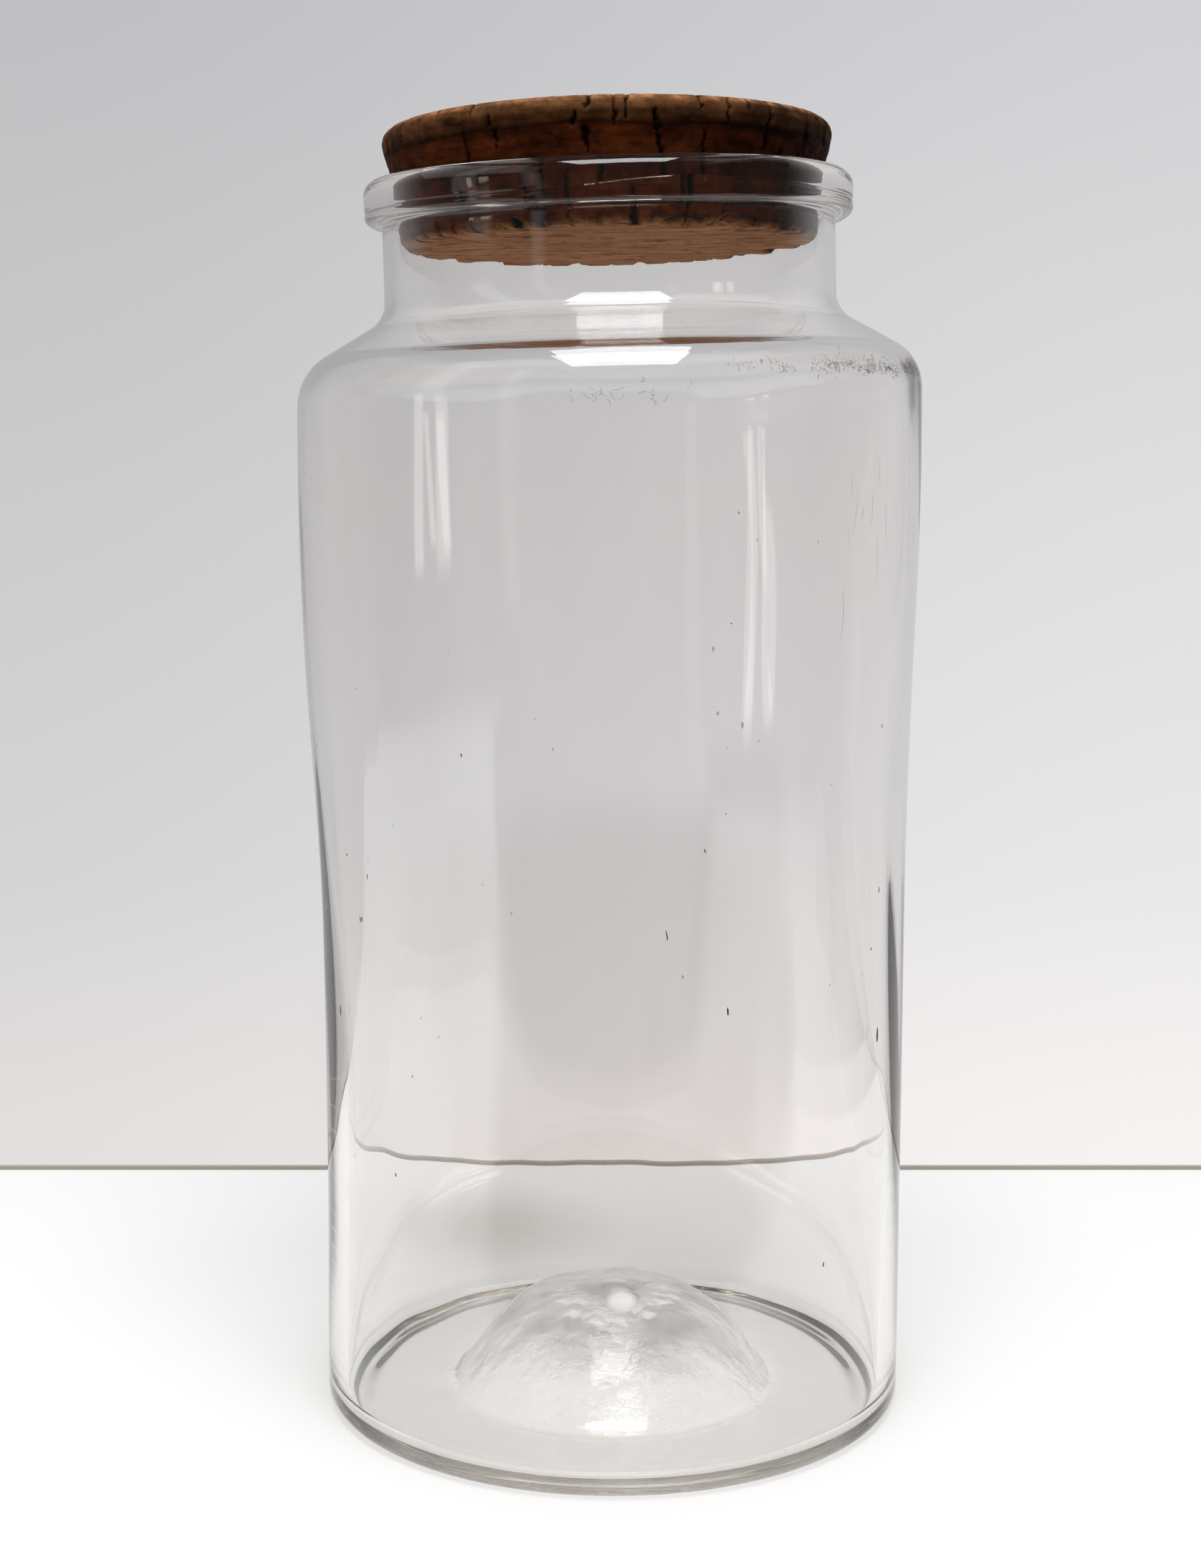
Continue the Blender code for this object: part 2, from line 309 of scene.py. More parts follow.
def make_jar():
    """The whole glass, turned from its section and made uneven as hand work, with its air bubbles."""
    section = jar_section()
    rng = np.random.default_rng(11)
    turns = np.linspace(0, 2 * math.pi, JAR_SEGMENTS, endpoint=False)
    radius = np.repeat(section[:, 0][:, None], JAR_SEGMENTS, 1)
    height = np.repeat(section[:, 1][:, None], JAR_SEGMENTS, 1)
    side = np.repeat(section[:, 2][:, None], JAR_SEGMENTS, 1)
    angle = np.repeat(turns[None, :], len(section), 0)

    on_wall = ease(height, 12 * MM, 60 * MM) * (1 - ease(height, 255 * MM, 268 * MM))
    high = ease(height, 40 * MM, 130 * MM)
    shape = SHAPE_WAVE * ripple(angle, height, rng, 5, (2, 4), (180 * MM, 420 * MM))
    cords = OUTER_CORDS * ripple(angle, height, rng, 8, (9, 26), (300 * MM, 1500 * MM))
    inner = INNER_WAVE * ripple(angle, height, rng, 8, (3, 9), (70 * MM, 260 * MM))
    inner += INNER_CORDS * ripple(angle, height, rng, 8, (12, 34), (90 * MM, 800 * MM))
    skins = np.where(side == OUTSIDE, cords, 0.0), np.where(side == INSIDE, inner, 0.0) * high
    radius += on_wall * (shape + skins[0] + skins[1])

    lip_zone = ease(height, 296 * MM, 303 * MM)
    height += lip_zone * lip_wave(angle)
    on_lip = side == LIP
    crease = np.exp(-((height - lip_fold(angle)) / FOLD_HALF_HEIGHT) ** 2) * on_lip
    radius -= FOLD_DEPTH * crease * (radius > NECK_RADIUS + 1.5 * MM)
    radius += lip_zone * on_lip * LIP_UNEVEN * ripple(angle, height, rng, 4, (2, 5), (60 * MM, 90 * MM))

    low_inside = (side == INSIDE) & (height < KICK_TOP_Z + 1 * MM) & (radius < ROUGH_BASE_RADIUS)
    base = (side == UNDERNEATH) | low_inside
    x, y = radius * np.cos(angle), radius * np.sin(angle)
    poles = section[:, 0] < 1e-9
    verts, faces, starts = [], [], []
    for i, pole in enumerate(poles):
        starts.append(len(verts))
        for k in range(1 if pole else JAR_SEGMENTS):
            px, py, pz = float(x[i, k]), float(y[i, k]), float(height[i, k])
            if base[i, k]:
                pz = rough_base(px, py, pz, side[i, k])
            verts.append(leant(px, py, pz))
    for i in range(len(section) - 1):
        a, b = starts[i], starts[i + 1]
        for k in range(JAR_SEGMENTS):
            n = (k + 1) % JAR_SEGMENTS
            if poles[i]:
                faces.append((a, b + k, b + n))
            elif poles[i + 1]:
                faces.append((a + k, b, a + n))
            else:
                faces.append((a + k, b + k, b + n, a + n))
    add_bubble(verts, faces, CROWN_BUBBLE_AT, CROWN_BUBBLE_RADII)
    for _ in range(SEED_BUBBLES):
        turn, z = rng.uniform(0, 2 * math.pi), rng.uniform(25 * MM, 250 * MM)
        size = rng.uniform(0.12, 0.30) * MM
        r = body_radius(z) - wall(z) * rng.uniform(0.4, 0.6)
        place = leant(r * math.cos(turn), r * math.sin(turn), z)
        add_bubble(verts, faces, place, (size, size, size * rng.uniform(1.2, 3.0)), 6, 8)
    return add_object("blown_glass", verts, faces)


# ---------------------------------------------------------------- dried residue and marks on the glass
SCUFF_CLUSTERS = 105
FRONT_SCUFFS = 22
HAIRLINES = 9
SPECKS = 16
RIBBON_LIFT = 0.03 * MM
# single marks on the wall: turn in degrees, height, then how tall and how wide, in mm
MARKS = [(-134.4, 73.5, 1.0, 0.5), (-48.1, 52.1, 1.2, 0.5), (-141.5, 145.5, 1.4, 0.35),
         (-144.5, 134.6, 1.6, 0.3), (-154.4, 110.0, 2.6, 0.7), (-148.7, 149.3, 0.7, 0.5),
         (-117.2, 177.1, 0.8, 0.35), (-74.3, 155.7, 1.0, 0.3), (-81.1, 137.0, 2.4, 0.3),
         (-69.8, 118.2, 1.9, 0.45), (-30.6, 140.9, 1.6, 0.5), (-33.9, 126.5, 0.7, 0.5),
         (-30.9, 105.8, 3.6, 1.0), (-31.5, 181.0, 1.2, 0.4)]


def walk(rng, turn, z, steps, stride, heading, curl):
    """A wandering line on the wall: (turn, height) points, each a stride after the last."""
    points = []
    for _ in range(steps):
        points.append((turn, z))
        heading += rng.normal(0.0, curl)
        turn += stride * math.cos(heading) / BODY_RADIUS_SHOULDER
        z += stride * math.sin(heading)
    return points


def residue_lines(rng):
    """Wandering lines as (points, width in mm): scuffs on the shoulder's break, then what lies below it."""
    lines = []
    for _ in range(SCUFF_CLUSTERS):
        share = rng.beta(1.5, 1.0)
        middle = math.radians(-74 + 60 * share), (264.3 + 2.2 * share + rng.normal(0.0, 0.7)) * MM
        for _ in range(int(rng.integers(3, 8) * (0.7 + share))):
            turn = middle[0] + rng.normal(0.0, 0.9) * MM / BODY_RADIUS_SHOULDER
            z = middle[1] + rng.normal(0.0, 0.55) * MM
            line = walk(rng, turn, z, int(rng.integers(5, 14)), 0.15 * MM, rng.uniform(0, 6.3), 0.8)
            lines.append((line, rng.uniform(0.07, 0.17) * (0.7 + share)))
    for _ in range(FRONT_SCUFFS):
        turn = math.radians(rng.uniform(-104, -76))
        z = (258.2 + rng.normal(0.0, 0.9)) * MM
        line = walk(rng, turn, z, int(rng.integers(3, 12)), 0.35 * MM, 0.0, 0.7)
        lines.append((line, rng.uniform(0.05, 0.13)))
    for _ in range(HAIRLINES):
        turn, z = math.radians(rng.uniform(-47, -34)), rng.uniform(212, 244) * MM
        line = walk(rng, turn, z, int(rng.integers(10, 40)), 0.4 * MM, -1.57, 0.03)
        lines.append((line, rng.uniform(0.05, 0.09)))
    for turn, z, tall, width in MARKS:
        lines.append((walk(rng, math.radians(turn), z * MM, 5, tall * MM / 4, -1.45, 0.15), width))
    for _ in range(SPECKS):
        turn, z = math.radians(rng.uniform(-170, -10)), rng.uniform(20, 240) * MM
        line = walk(rng, turn, z, 3, rng.uniform(0.1, 0.3) * MM, -1.2, 0.4)
        lines.append((line, rng.uniform(0.15, 0.3)))
    return lines


def make_residue(jar):
    """Thin flat ribbons of dried residue, lying just above the outer surface of the glass."""
    mesh = jar.data
    surface = BVHTree.FromPolygons([v.co for v in mesh.vertices], [p.vertices for p in mesh.polygons])
    verts, faces = [], []
    for points, width in residue_lines(np.random.default_rng(23)):
        found = []
        for turn, z in points:
            out = Vector((math.cos(turn), math.sin(turn), 0.0))
            hit, normal, _, _ = surface.ray_cast(out * 0.12 + Vector((0, 0, z)), -out)
            found.append((hit, normal if normal.dot(out) > 0 else -normal))
        start = len(verts)
        for i, (hit, normal) in enumerate(found):
            ahead = found[min(i + 1, len(found) - 1)][0] - found[max(i - 1, 0)][0]
            across = normal.cross(ahead).normalized()
            half = 0.5 * width * MM * math.sin(math.pi * (i + 0.35) / (len(found) - 0.3)) ** 0.5
            lifted = hit + normal * RIBBON_LIFT
            verts += [lifted - across * half, lifted + across * half]
        for i in range(len(found) - 1):
            a = start + 2 * i
            faces.append((a, a + 2, a + 3, a + 1))
    return add_object("dried_residue", verts, faces)


# ---------------------------------------------------------------- cork shape
def stopper_section():
    """The cork's outline (radius, height), from the middle of its top to the middle of its underside."""
    top_r = STOPPER_MAX_RADIUS - STOPPER_TOP_ROUND
    points = [(0.0, STOPPER_TOP_Z)]
    points += arc(top_r, STOPPER_TOP_Z - STOPPER_TOP_ROUND, STOPPER_TOP_ROUND, 90, 0, 8)
    points.append((STOPPER_MAX_RADIUS - 1.0 * MM, STOPPER_FLARE_Z))
    points.append((STOPPER_LIP_RADIUS + 0.3 * MM, STOPPER_WAIST_Z))
    points.append((STOPPER_LIP_RADIUS, LIP_TOP_Z - 0.7 * MM))
    points.append((STOPPER_FOOT_RADIUS, STOPPER_BOTTOM_Z + STOPPER_FOOT_BEVEL))
    points.append((STOPPER_FOOT_RADIUS - STOPPER_FOOT_BEVEL, STOPPER_BOTTOM_Z))
    points.append((0.0, STOPPER_BOTTOM_Z))
    return points


def cork_blank():
    """The turned plug, remeshed to even small faces."""
    mesh = bpy.data.meshes.new("natural_cork")
    section = stopper_section()
    mesh.from_pydata([(r, 0.0, z) for r, z in section], [(i, i + 1) for i in range(len(section) - 1)], [])
    obj = bpy.data.objects.new("natural_cork", mesh)
    bpy.context.scene.collection.objects.link(obj)
    screw = obj.modifiers.new("turn", "SCREW")
    screw.axis = "Z"
    screw.steps = screw.render_steps = 160
    screw.use_merge_vertices = True
    screw.merge_threshold = 0.00001
    remesh = obj.modifiers.new("even", "REMESH")
    remesh.mode = "VOXEL"
    remesh.voxel_size = CORK_VOXEL
    depsgraph = bpy.context.evaluated_depsgraph_get()
    done = bpy.data.meshes.new_from_object(obj.evaluated_get(depsgraph))
    obj.modifiers.clear()
    obj.data = done
    return obj


def lenticels(rng, angle, height, radius, on_side, tall):
    """Upright dark pores of the bark on the cork's side: a mask, and how deep each bites."""
    pit = np.zeros_like(height)
    bite = np.zeros_like(height)
    for i in range(LENTICELS):
        turn = -math.pi + 2 * math.pi * (i + rng.uniform(-0.8, 0.8)) / LENTICELS
        reach = rng.choice([0.07, 0.13, 0.22], p=[0.35, 0.40, 0.25]) * rng.uniform(0.8, 1.35) * tall
        places = [tall - reach * 0.6, reach * 0.5, rng.uniform(0.1, 0.9) * tall]
        centre_z = rng.choice(places, p=[0.36, 0.16, 0.48])
        width = (0.26 + 0.95 * rng.beta(1.0, 2.8)) * MM
        taper = rng.choice([-1.0, 1.0]) * rng.uniform(0.25, 0.9)
        slant = rng.uniform(-0.16, 0.16) * reach / STOPPER_LIP_RADIUS
        along = (height - centre_z) / reach
        jag = 0.0035 * np.sin(height / (1.15 * MM) + i * 1.7)
        jag += 0.0025 * np.sin(height / (0.43 * MM) + i * 3.1)
        narrowing = np.clip(1.0 + taper * along, 0.08, 1.6)
        across = np.angle(np.exp(1j * (angle - turn - slant * along - jag))) * radius / (width * narrowing)
        mask = np.clip(1.35 - across ** 2 - np.abs(along) ** 5, 0, 1) * on_side
        pit = np.maximum(pit, mask)
        bite = np.maximum(bite, mask * rng.uniform(0.7, 1.7) * MM)
    return pit, bite


def face_pores(rng, co, face_z, number, pit):
    """Small pores, long ones along X, in a flat face: updates the mask and returns how deep they are."""
    near = np.clip(1 - np.abs(co[:, 2] - face_z) / (2.5 * MM), 0, 1)
    deep = np.zeros(len(co))
    for _ in range(number):
        spread = math.sqrt(rng.uniform(0, 1)) * 52 * MM
        turn = rng.uniform(0, 2 * math.pi)
        long = rng.choice([0.7, 1.3, 3.2], p=[0.45, 0.35, 0.2]) * MM * rng.uniform(0.8, 1.3)
        slim = min(long * rng.uniform(0.3, 0.7), 0.9 * MM)
        d = co[:, :2] - np.array([spread * math.cos(turn), spread * math.sin(turn)])
        mask = np.clip(1.3 - (d[:, 0] / long) ** 2 - (d[:, 1] / slim) ** 2, 0, 1) * near
        np.maximum(pit, mask, out=pit)
        deep = np.maximum(deep, mask * min(2 * slim, 1.4 * MM))
    return deep


def torn_foot(p, turn):
    """How far the cork's lower edge is broken back at a point, as a share of the deepest break."""
    way = Vector((math.cos(turn), math.sin(turn), 0.2))
    steps = math.floor(noise.noise(way * 8) * 5 + noise.noise(way * 27) * 2.4) / 4
    return max(steps + 0.25 + 0.25 * noise.noise(Vector((p.x, p.y, 0.4)) * 300), 0.0)


def make_cork():
    """The cork with its pores, its grain and its torn lower edge, and the masks that its material reads."""
    cork = cork_blank()
    mesh = cork.data
    count = len(mesh.vertices)
    co = np.empty(count * 3)
    mesh.vertices.foreach_get("co", co)
    co = co.reshape(-1, 3)
    rng = np.random.default_rng(5)
    radius = np.hypot(co[:, 0], co[:, 1])
    angle = np.arctan2(co[:, 1], co[:, 0])
    height = co[:, 2] - STOPPER_BOTTOM_Z
    tall = STOPPER_TOP_Z - STOPPER_BOTTOM_Z
    outward = np.stack([np.cos(angle), np.sin(angle), np.zeros(count)], 1)
    on_side = ease(radius, STOPPER_FOOT_RADIUS - 6 * MM, STOPPER_FOOT_RADIUS - 1.5 * MM)

    pit, bite = lenticels(rng, angle, height, radius, on_side, tall)
    push = -outward * bite[:, None]
    push[:, 2] -= face_pores(rng, co, STOPPER_TOP_Z, TOP_PORES, pit)
    push[:, 2] += face_pores(rng, co, STOPPER_BOTTOM_Z, FOOT_PORES, pit)

    for i in range(count):
        p = Vector(co[i])
        grain = noise.fractal(p * 420, 0.9, 2.1, 3)
        lump = noise.noise(p * 90)
        ledge = noise.noise(Vector((p.x * 40, p.y * 40, height[i] * 520)))
        push[i] += outward[i] * on_side[i] * (0.10 * grain + 0.20 * lump + 0.14 * ledge) * MM
        if on_side[i] < 1:
            streak = noise.noise(Vector((p.x * 60, p.y * 420, p.z * 60)))
            push[i][2] += (1 - on_side[i]) * (0.10 * grain + 0.22 * lump + 0.10 * streak) * MM
        low = float(1 - ease(height[i], 0.4 * MM, 3.2 * MM)) * float(ease(radius[i], 42 * MM, 50.5 * MM))
        if low > 0:
            bite_in = torn_foot(p, angle[i])
            push[i] -= outward[i] * low * bite_in * 3.0 * MM
            push[i][2] += low * bite_in * 1.0 * MM
    top_edge = ease(height, tall - 1.9 * MM, tall - 0.5 * MM) * ease(radius, 50 * MM, 53 * MM)
    foot = 1 - ease(height, 0.3 * MM, 1.6 * MM)
    co += push
    done = np.stack(leant(co[:, 0], co[:, 1], np.maximum(co[:, 2], MOUTH_START_Z)), 1)
    mesh.vertices.foreach_set("co", done.ravel())
    for name, values in (("pit", pit), ("rise", height / tall), ("rim", top_edge), ("under", foot)):
        mesh.attributes.new(name, "FLOAT", "POINT").data.foreach_set("value", values.astype(np.float32))
    mesh.update()
    mesh.shade_smooth()
    return cork


# ---------------------------------------------------------------- materials
def add(tree, kind, inputs=None, **props):
    """A shader node with its properties set, and its inputs set or linked."""
    made = tree.nodes.new(kind)
    for key, value in props.items():
        setattr(made, key, value)
    for key, value in (inputs or {}).items():
        if isinstance(value, bpy.types.NodeSocket):
            tree.links.new(value, made.inputs[key])
        else:
            made.inputs[key].default_value = value
    return made


def new_material(name):
    mat = bpy.data.materials.new(name)
    mat.use_nodes = True
    tree = mat.node_tree
    return mat, tree, tree.nodes["Principled BSDF"]


def maths(tree, operation, a, b=0.0, c=0.0):
    return add(tree, "ShaderNodeMath", {0: a, 1: b, 2: c}, operation=operation).outputs[0]


def ramp(tree, value, stops):
    """A colour ramp over (place, colour) stops."""
    made = add(tree, "ShaderNodeValToRGB", {"Fac": value})
    elements = made.color_ramp.elements
    while len(elements) < len(stops):
        elements.new(0.5)
    for element, (place, colour) in zip(elements, stops):
        element.position = place
        element.color = (*colour, 1.0)
    return made.outputs["Color"]


def mix(tree, share, a, b, blend="MIX"):
    """A colour mixed from two colours or sockets by a share, a number or a socket."""
    made = add(tree, "ShaderNodeMix", data_type="RGBA", blend_type=blend)
    for index, value in ((0, share), (6, a), (7, b)):
        if isinstance(value, bpy.types.NodeSocket):
            tree.links.new(value, made.inputs[index])
        else:
            made.inputs[index].default_value = value if index == 0 else (*value, 1.0)
    return made.outputs[2]


def map_range(tree, value, low, high, to_low=0.0, to_high=1.0):
    """A smooth step of a socket's value, from one range to another; low may be above high."""
    made = add(tree, "ShaderNodeMapRange", {"Value": value, "From Min": low, "From Max": high,
                                             "To Min": to_low, "To Max": to_high})
    made.interpolation_type = "SMOOTHSTEP"
    return made.outputs["Result"]


def grey(tree, value):
    return add(tree, "ShaderNodeCombineColor", {0: value, 1: value, 2: value}).outputs[0]


def squares_sum(tree, a, b):
    """The sum of two sockets' squares."""
    return maths(tree, "ADD", maths(tree, "MULTIPLY", a, a), maths(tree, "MULTIPLY", b, b))


def noise_fac(tree, vector, scale, **more):
    """The grey value of a noise texture; its Detail and Roughness are given by name."""
    return add(tree, "ShaderNodeTexNoise", {"Vector": vector, "Scale": scale, **more}).outputs["Fac"]


# the white spot on the kick-up's crown, turned round as a shift of the texture's place
SPOT_SHIFT = (-2.2 * MM, 6.4 * MM, -26.6 * MM)
SPOT_WHITE = 0.75
# whiteness of the front streaks: partly frost, partly a painted reflection of the overhead window
FROST_AND_REFLECTION_WHITE = 0.5
HAZE_WHITE = (0.10, 0.22)
SKIN_SCALE, CLOUD_SCALE = 190.0, 75.0
BUMP_STRENGTH = (0.15, 0.60)
BUMP_DEPTH = 0.6 * MM
# what a surface takes from lamp rays and soft light: everywhere, and more at a grazing angle
SURFACE_LOSS, GRAZING_LOSS = 0.025, 0.45
GLASS_TINT = (0.60, 0.525, 0.425, 1.0)
GLASS_TINT_DENSITY = 12.0


def frosting(tree, place, parts, on_kick, skin, cloud):
    """How white the kick-up's glass is: streaky white in front, partly rough frosted glass and partly a
    painted reflection of the overhead window, a spot on the crown, a thin haze of rough glass.
    """
    # painted reflection: the white streaks in front stand partly for the overhead window mirrored in the
    # front slope
    front = map_range(tree, parts["Y"], -12 * MM, -24 * MM)
    middle = map_range(tree, maths(tree, "ABSOLUTE", parts["X"]), 36 * MM, 14 * MM)
    frost_and_reflection = maths(tree, "MULTIPLY", maths(tree, "MULTIPLY", on_kick, front), middle)
    streaks = maths(tree, "MULTIPLY", map_range(tree, skin, 0.46, 0.62), map_range(tree, cloud, 0.4, 0.6))
    near = add(tree, "ShaderNodeMapping", {"Vector": place, "Location": SPOT_SHIFT,
                                           "Scale": (1.0, 0.62, 1.0)})
    apart = add(tree, "ShaderNodeVectorMath", {0: near.outputs[0]}, operation="LENGTH").outputs["Value"]
    spot = maths(tree, "MULTIPLY", map_range(tree, apart, 5.5 * MM, 2.5 * MM), SPOT_WHITE)
    frost_and_reflection = maths(tree, "MULTIPLY", frost_and_reflection, maths(tree, "MULTIPLY", streaks, FROST_AND_REFLECTION_WHITE))
    frost = maths(tree, "MAXIMUM", frost_and_reflection, spot)
    haze = maths(tree, "MULTIPLY", on_kick, map_range(tree, cloud, 0.35, 0.60, *HAZE_WHITE))
    return maths(tree, "MAXIMUM", frost, haze)


def glass_material():
    """Clear old glass. Lamp rays and soft light pass straight through it, less some loss at its surface."""
    mat, tree, shader = new_material("blown_glass")
    shader.inputs["IOR"].default_value = 1.5
    shader.inputs["Base Color"].default_value = (0.995, 0.992, 0.988, 1.0)
    shader.inputs["Roughness"].default_value = 0.0
    place = add(tree, "ShaderNodeTexCoord").outputs["Object"]
    parts = add(tree, "ShaderNodeSeparateXYZ", {"Vector": place}).outputs
    out = maths(tree, "SQRT", squares_sum(tree, parts["X"], parts["Y"]))
    on_kick = maths(tree, "MULTIPLY", map_range(tree, out, 46 * MM, 38 * MM),
                    map_range(tree, out, 4 * MM, 14 * MM))
    on_kick = maths(tree, "MULTIPLY", on_kick, map_range(tree, parts["Z"], 30 * MM, 28 * MM))
    drawn = add(tree, "ShaderNodeMapping", {"Vector": place, "Scale": (1.0, 1.5, 1.0)}).outputs[0]
    skin = noise_fac(tree, drawn, SKIN_SCALE, Detail=5.0, Roughness=0.6)
    cloud = noise_fac(tree, place, CLOUD_SCALE, Detail=4.0)
    uneven = maths(tree, "MULTIPLY", on_kick, map_range(tree, cloud, 0.35, 0.62, *BUMP_STRENGTH))
    bump = add(tree, "ShaderNodeBump", {"Strength": uneven, "Distance": BUMP_DEPTH, "Height": skin})
    tree.links.new(bump.outputs["Normal"], shader.inputs["Normal"])
    frost = frosting(tree, place, parts, on_kick, skin, cloud)
    tree.links.new(maths(tree, "SUBTRACT", 1.0, frost), shader.inputs["Transmission Weight"])

    facing = add(tree, "ShaderNodeLayerWeight", {"Blend": 0.5}).outputs["Facing"]
    grazing = maths(tree, "POWER", facing, 5.0)
    mirrored = maths(tree, "MULTIPLY_ADD", grazing, GRAZING_LOSS, SURFACE_LOSS)
    passed = mix(tree, mirrored, (1.0, 1.0, 1.0), (0.0, 0.0, 0.0))
    straight = add(tree, "ShaderNodeBsdfTransparent", {"Color": passed}).outputs[0]
    path = add(tree, "ShaderNodeLightPath").outputs
    lamp = maths(tree, "MAXIMUM", path["Is Shadow Ray"], path["Is Diffuse Ray"])
    both = add(tree, "ShaderNodeMixShader", {0: lamp, 1: shader.outputs[0], 2: straight}).outputs[0]
    tree.links.new(both, tree.nodes["Material Output"].inputs["Surface"])
    tint = add(tree, "ShaderNodeVolumeAbsorption", {"Color": GLASS_TINT, "Density": GLASS_TINT_DENSITY})
    tree.links.new(tint.outputs[0], tree.nodes["Material Output"].inputs["Volume"])
    return mat


def residue_material():
    """Dried grey-brown dirt, browner low on the wall."""
    mat, tree, shader = new_material("dried_residue")
    place = add(tree, "ShaderNodeTexCoord").outputs["Object"]
    cloud = noise_fac(tree, place, 420.0, Detail=4.0)
    pale = ramp(tree, cloud, [(0.35, (0.20, 0.165, 0.135)), (0.60, (0.42, 0.38, 0.34))])
    brown = ramp(tree, cloud, [(0.35, (0.035, 0.022, 0.014)), (0.65, (0.17, 0.09, 0.04))])
    tall = add(tree, "ShaderNodeSeparateXYZ", {"Vector": place}).outputs["Z"]
    colour = mix(tree, map_range(tree, tall, 240 * MM, 256 * MM), brown, pale)
    tree.links.new(colour, shader.inputs["Base Color"])
    shader.inputs["Roughness"].default_value = 0.8
    bump = add(tree, "ShaderNodeBump", {"Strength": 0.4, "Distance": 0.05 * MM, "Height": cloud})
    tree.links.new(bump.outputs["Normal"], shader.inputs["Normal"])
    return mat


# colours of the cork's side from its foot (0) to its top (1), and the dark knot near its foot
SIDE_BANDS = [(0.00, (0.074, 0.017, 0.0035)), (0.10, (0.095, 0.023, 0.005)), (0.20, (0.030, 0.006, 0.0012)),
              (0.32, (0.062, 0.014, 0.003)), (0.45, (0.030, 0.0065, 0.0013)), (0.58, (0.056, 0.013, 0.0028)),
              (0.70, (0.078, 0.017, 0.0035)), (0.765, (0.018, 0.004, 0.001)), (0.81, (0.074, 0.028, 0.009)),
              (0.90, (0.104, 0.043, 0.015)), (1.00, (0.145, 0.062, 0.023))]
KNOT = (42.0 * MM, -29.0 * MM, 299.0 * MM)
KNOT_COLOUR = (0.035, 0.010, 0.004)
# colour of the cork's lighter top edge: partly worn cork, partly a painted highlight
WORN_AND_LIT_EDGE_COLOUR = (0.40, 0.18, 0.075)
PORE_COLOUR = (0.0055, 0.0020, 0.0008)


def cork_material():
    """Old bark cork: dark banded sides with painted shade towards the right, a lighter top edge that is
    partly worn and partly a painted highlight, and a pale streaky cut underside.
    """
    mat, tree, shader = new_material("worn_cork")
    place = add(tree, "ShaderNodeTexCoord").outputs["Object"]
    pit, rise, rim, under = (add(tree, "ShaderNodeAttribute", attribute_name=name).outputs["Fac"]
                             for name in ("pit", "rise", "rim", "under"))

    def noise_of(scale, stretch, detail=5.0, rough=0.6):
        spread = add(tree, "ShaderNodeMapping", {"Vector": place, "Scale": stretch}).outputs[0]
        return noise_fac(tree, spread, scale, Detail=detail, Roughness=rough)

    wobble = maths(tree, "MULTIPLY", maths(tree, "SUBTRACT", noise_of(26, (1, 1, 1), 3), 0.5), 0.16)
    level = maths(tree, "ADD", rise, wobble)
    bands = ramp(tree, level, SIDE_BANDS)
    mottle = noise_of(230, (1, 1, 1.6), 6.0, 0.7)
    fibres = noise_of(60, (1, 1, 9), 5.0, 0.6)
    shade = maths(tree, "ADD", maths(tree, "MULTIPLY", mottle, 1.1), maths(tree, "MULTIPLY", fibres, 0.9))
    side = mix(tree, 1.0, bands, grey(tree, map_range(tree, shade, 0.6, 1.4, 0.40, 1.75)), blend="MULTIPLY")
    # painted shade: the side darkens towards the cork's right, +X, times a random mottle
    east = add(tree, "ShaderNodeSeparateXYZ", {"Vector": place}).outputs["X"]
    shade_and_mottle = maths(tree, "MULTIPLY", map_range(tree, east, 8 * MM, 46 * MM, 1.0, 0.42),
                  map_range(tree, noise_of(85, (1, 1, 1), 4.0), 0.30, 0.62, 0.55, 1.15))
    side = mix(tree, 1.0, side, grey(tree, shade_and_mottle), blend="MULTIPLY")

    # painted highlight: the top edge is lighter, partly worn and partly a painted highlight
    worn_and_lit = maths(tree, "MULTIPLY", rim, map_range(tree, mottle, 0.42, 0.66, 0.15, 1.0))
    side = mix(tree, worn_and_lit, side, WORN_AND_LIT_EDGE_COLOUR)

    layers = noise_of(34, (1, 12, 1), 6.0, 0.62)
    cut = ramp(tree, layers, [(0.26, (0.075, 0.027, 0.010)), (0.40, (0.22, 0.088, 0.032)),
                              (0.55, (0.34, 0.145, 0.058)), (0.75, (0.44, 0.22, 0.10))])
    cut = mix(tree, map_range(tree, mottle, 0.30, 0.48, 0.75, 0.0), cut, (0.07, 0.028, 0.012))
    knot_at = add(tree, "ShaderNodeVectorMath", {0: place, 1: KNOT}, operation="DISTANCE").outputs["Value"]
    knot = map_range(tree, knot_at, 5.5 * MM, 2.0 * MM)
    cut = mix(tree, knot, cut, KNOT_COLOUR)
    face = mix(tree, under, side, cut)
    tree.links.new(mix(tree, pit, face, PORE_COLOUR), shader.inputs["Base Color"])

    rough = map_range(tree, mottle, 0.3, 0.7, 0.92, 0.66)
    tree.links.new(rough, shader.inputs["Roughness"])
    shader.inputs["Specular IOR Level"].default_value = 0.05
    fine = noise_of(900, (1, 1, 1), 4.0, 0.7)
    height = maths(tree, "ADD", maths(tree, "MULTIPLY", mottle, 0.7), maths(tree, "MULTIPLY", fine, 0.3))
    bump = add(tree, "ShaderNodeBump", {"Strength": 0.55, "Distance": 0.45 * MM, "Height": height})
    tree.links.new(bump.outputs["Normal"], shader.inputs["Normal"])
    return mat


# ---------------------------------------------------------------- stage, light, camera
# the table, in metres from the jar; past its front, right and end only mirror images go dark
TABLE_BACK, TABLE_FRONT, TABLE_RIGHT, TABLE_END = 0.192, -0.15, 0.37, 1.05
TABLE_HALF_WIDTH = 1.25
TABLE_COLOUR = (0.88, 0.88, 0.875)
PAST_TABLE_COLOUR = (0.03, 0.029, 0.028)
